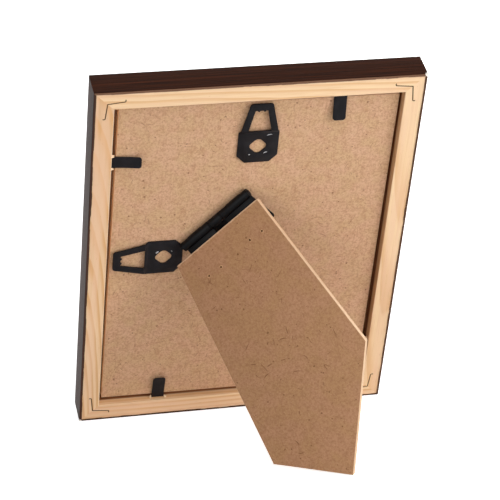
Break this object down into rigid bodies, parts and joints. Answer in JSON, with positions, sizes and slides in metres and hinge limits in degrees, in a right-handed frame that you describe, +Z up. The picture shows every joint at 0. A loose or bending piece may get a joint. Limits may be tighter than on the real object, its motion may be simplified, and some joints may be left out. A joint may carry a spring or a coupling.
{
  "type": "easel back photo frame",
  "caption": "Photo frame with mitred wood rails, glass front and fibreboard back, standing on a folding easel strut, with bend-up retaining tabs and sawtooth hangers.",
  "frame": {"origin": "on the floor, under the middle of the standing frame's bounding box", "axes": "+Z up, -Y the way the picture faces, +Y behind the frame where the strut stands, +X to the left of someone standing behind the frame"},
  "size_m": [0.172, 0.1242, 0.2119],
  "materials": {
    "pine": "raw sawn pine",
    "foil": "dark brown wood grain foil, satin",
    "fibreboard": "raw fibreboard, fibre flecks",
    "glass": "clear float glass",
    "paper": "plain white insert sheet",
    "black_steel": "black, satin",
    "nail_steel": "dull steel"
  },
  "bodies": {
    "frame": {"backing_board": "fibreboard", "corner_nail_bottom_left": "nail_steel", "corner_nail_bottom_right": "nail_steel", "corner_nail_top_left": "nail_steel", "corner_nail_top_right": "nail_steel", "glass": "glass", "hanger_side": "black_steel", "hanger_top": "black_steel", "hinge_board_leaf": "black_steel", "picture_print": "paper", "rail_bottom": "pine", "rail_left": "pine", "rail_right": "pine", "rail_top": "pine", "tang_bottom": "black_steel", "tang_left": "black_steel", "tang_right": "black_steel", "tang_top": "black_steel", "wrap_bottom": "foil", "wrap_left": "foil", "wrap_right": "foil", "wrap_top": "foil"},
    "strut": {"strut": "fibreboard", "hinge_strut_leaf": "black_steel", "hinge_pin": "black_steel"},
    "tab_bottom": {"tab_bottom": "black_steel"},
    "tab_right": {"tab_right": "black_steel"},
    "tab_top": {"tab_top": "black_steel"},
    "tab_left": {"tab_left": "black_steel"}
  },
  "joints": [
    {"name": "strut_fold", "type": "hinge", "parent": "frame", "child": "strut", "pos_m": [0.01818, 0.00239, 0.12616], "axis": [-0.6896, 0.2684, 0.6726], "range_deg": [0, 42]},
    {"name": "tab_bottom_bend", "type": "hinge", "parent": "frame", "child": "tab_bottom", "pos_m": [0.042, -0.04584, 0.01138], "axis": [-1, 0, 0], "range_deg": [0, 80]},
    {"name": "tab_right_bend", "type": "hinge", "parent": "frame", "child": "tab_right", "pos_m": [-0.0749, -0.03587, 0.03636], "axis": [0, 0.3706, 0.9288], "range_deg": [0, 80]},
    {"name": "tab_top_bend", "type": "hinge", "parent": "frame", "child": "tab_top", "pos_m": [-0.042, 0.02822, 0.19695], "axis": [1, 0, 0], "range_deg": [0, 80]},
    {"name": "tab_left_bend", "type": "hinge", "parent": "frame", "child": "tab_left", "pos_m": [0.0749, 0.0154, 0.16481], "axis": [0, -0.3706, -0.9288], "range_deg": [0, 80]}
  ]
}
